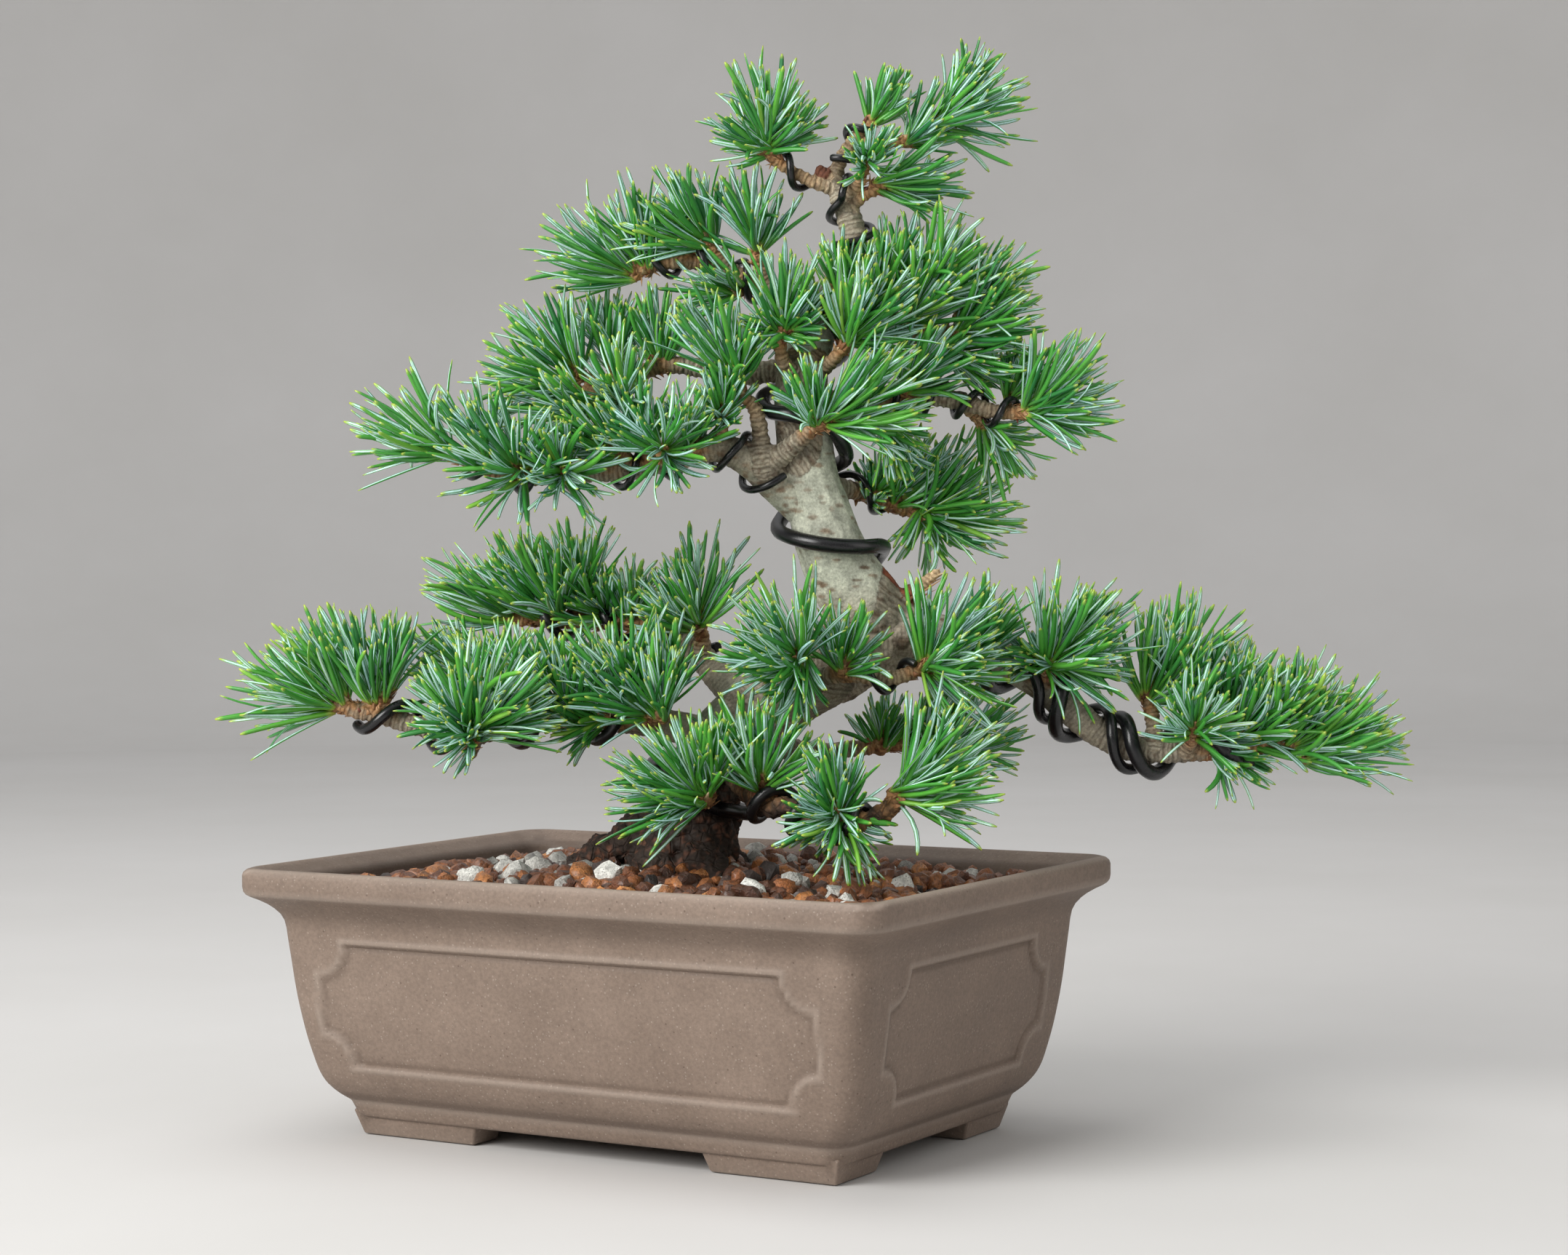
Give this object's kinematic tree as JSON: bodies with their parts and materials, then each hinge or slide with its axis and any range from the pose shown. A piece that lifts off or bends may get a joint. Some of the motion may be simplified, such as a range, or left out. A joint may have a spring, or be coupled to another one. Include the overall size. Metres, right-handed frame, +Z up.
{
  "type": "bonsai tree in a pot",
  "caption": "Small trained pine with wired curving branches and needle tufts, growing in a low rectangular footed clay pot of gritty soil.",
  "frame": {"origin": "bottom centre of the whole box, on the surface that the pot's feet stand on", "axes": "+Z up, X along the pot's long side, Y along its short side; the tree's front looks towards -Y and a third of a right angle towards +X"},
  "size_m": [0.2982, 0.1946, 0.3199],
  "materials": {
    "clay": "matt unglazed stoneware",
    "grit": "loose damp grains",
    "bark": "rough bark",
    "foliage": "satin needles",
    "wire": "black anodised satin",
    "mesh_plastic": "matt"
  },
  "bodies": {
    "root": {"apex_left_wire": "wire", "apex_right_wire": "wire", "base_wire": "wire", "drain_screen_left": "mesh_plastic", "drain_screen_right": "mesh_plastic", "front_right_limb_wire": "wire", "left_limb_wire": "wire", "low_right_limb_wire": "wire", "middle_left_limb_wire": "wire", "needles_apex_left": "foliage", "needles_apex_right": "foliage", "needles_centre_left": "foliage", "needles_crown_front": "foliage", "needles_crown_right": "foliage", "needles_crown_top": "foliage", "needles_inner_left": "foliage", "needles_inner_right": "foliage", "needles_knee_front": "foliage", "needles_knee_right": "foliage", "needles_left_front": "foliage", "needles_left_middle": "foliage", "needles_left_tip": "foliage", "needles_low_front": "foliage", "needles_low_middle": "foliage", "needles_low_right": "foliage", "needles_middle_front": "foliage", "needles_middle_left": "foliage", "needles_middle_left_tip": "foliage", "needles_middle_right_tip": "foliage", "needles_rear_left": "foliage", "needles_rear_low": "foliage", "needles_rear_right": "foliage", "needles_right_inner": "foliage", "needles_right_middle": "foliage", "needles_right_tip": "foliage", "needles_top_left": "foliage", "needles_top_middle": "foliage", "needles_upper_left": "foliage", "pot": "clay", "rear_left_limb_wire": "wire", "rear_low_limb_wire": "wire", "right_limb_second_wire": "wire", "right_limb_wire": "wire", "right_middle_limb_wire": "wire", "screen_clip_left": "wire", "screen_clip_right": "wire", "soil": "grit", "top_left_limb_wire": "wire", "trunk_and_branches": "bark", "trunk_wire": "wire"}
  },
  "joints": []
}
